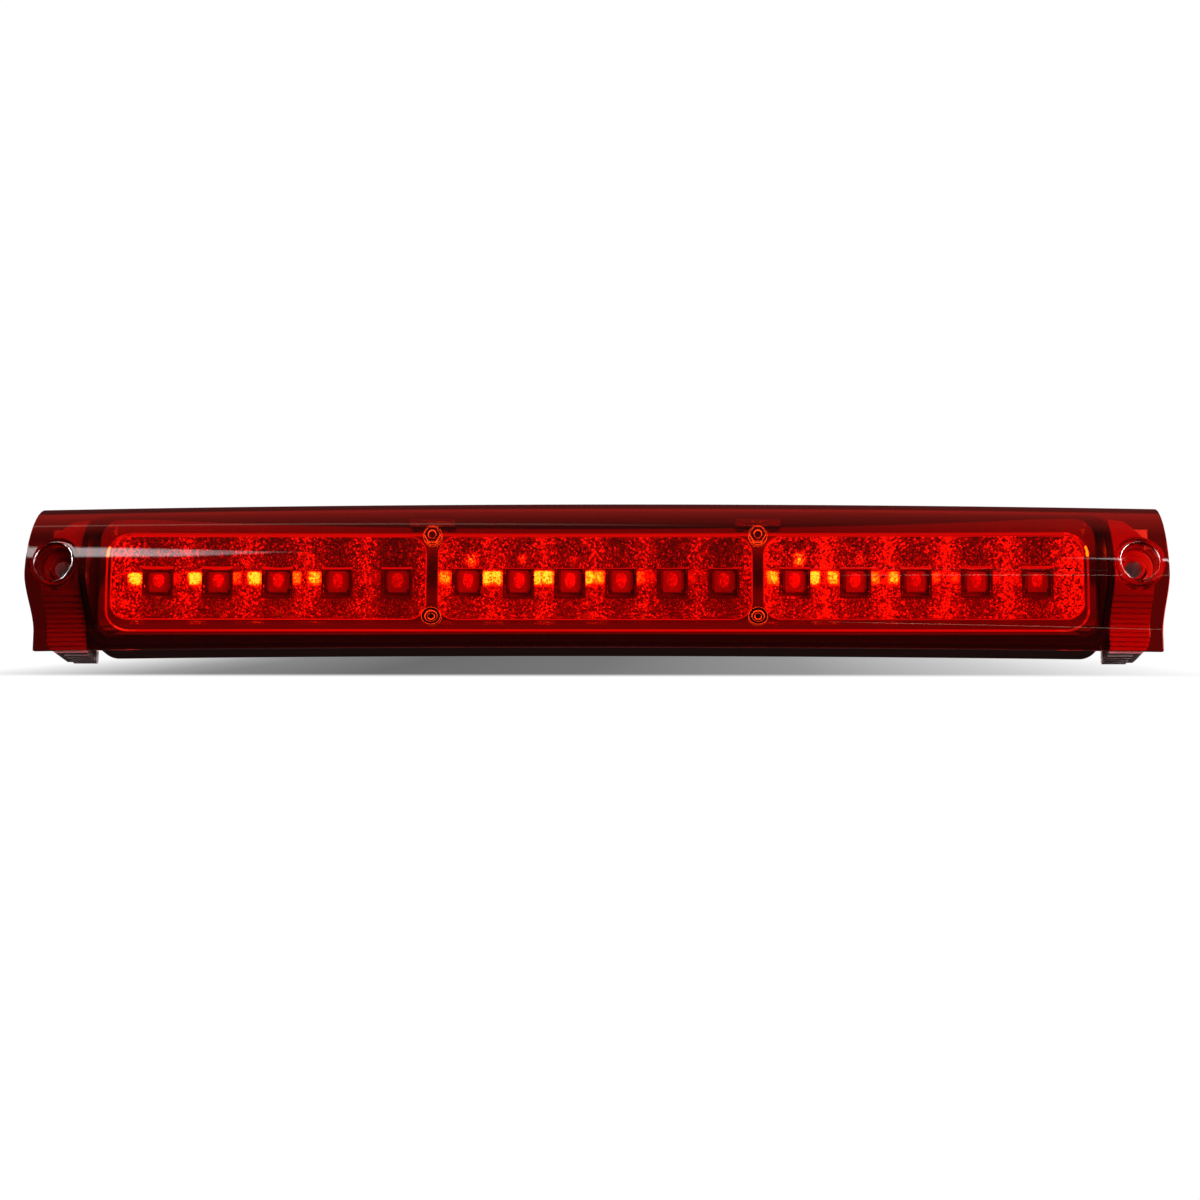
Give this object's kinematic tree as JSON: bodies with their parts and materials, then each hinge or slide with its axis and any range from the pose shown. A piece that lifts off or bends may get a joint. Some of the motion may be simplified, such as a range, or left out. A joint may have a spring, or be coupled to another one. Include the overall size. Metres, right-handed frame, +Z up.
{
  "type": "third brake light",
  "caption": "High-mounted stop lamp: bowed red lens over a black housing, faceted reflector trays with LEDs, and a screw ear at each end.",
  "frame": {"origin": "middle of the flat back face that lies on the vehicle, level with the two screws", "axes": "+X along the lamp's width, -Y out of the front, +Z up. The lamp leans back 10.5 degrees as fitted, so its back face and screw axes are turned by that angle about X"},
  "size_m": [0.4, 0.0534, 0.0573],
  "materials": {
    "red_lens": "clear polished red plastic",
    "black_housing": "fine satin moulded plastic",
    "grey_moulding": "ribbed satin moulded plastic",
    "sealant": "cured sealant",
    "dark_bezel": "gloss moulded plastic",
    "bright_reflector": "vacuum-metallised facets",
    "board": "solder-masked laminate",
    "led_package": "white moulded package",
    "led_dome": "clear cast resin",
    "chip": "black moulded package",
    "capacitor_can": "satin can",
    "bright_steel": "zinc-plated",
    "dark_steel": "dark-plated",
    "brass_blade": "tin-dulled brass",
    "red_wire": "insulation",
    "black_wire": "insulation",
    "foam": "closed-cell foam"
  },
  "bodies": {
    "root": {"lens": "red_lens", "housing": "black_housing", "left_end_block": "grey_moulding", "right_end_block": "grey_moulding", "sealant_bead": "sealant", "bezel": "dark_bezel", "left_reflector": "bright_reflector", "center_reflector": "bright_reflector", "right_reflector": "bright_reflector", "circuit_board": "board", "left_leds": "led_package", "center_leds": "led_package", "right_leds": "led_package", "left_led_domes": "led_dome", "center_led_domes": "led_dome", "right_led_domes": "led_dome", "resistors": "chip", "diode": "chip", "capacitor": "capacitor_can", "upper_divider_screws": "bright_steel", "lower_divider_screws": "dark_steel", "board_screws": "bright_steel", "reflector_clips": "bright_steel", "connector_shell": "black_housing", "connector_terminals": "brass_blade", "supply_lead": "red_wire", "ground_lead": "black_wire", "vent_plug": "sealant", "back_gasket": "foam"}
  },
  "joints": []
}
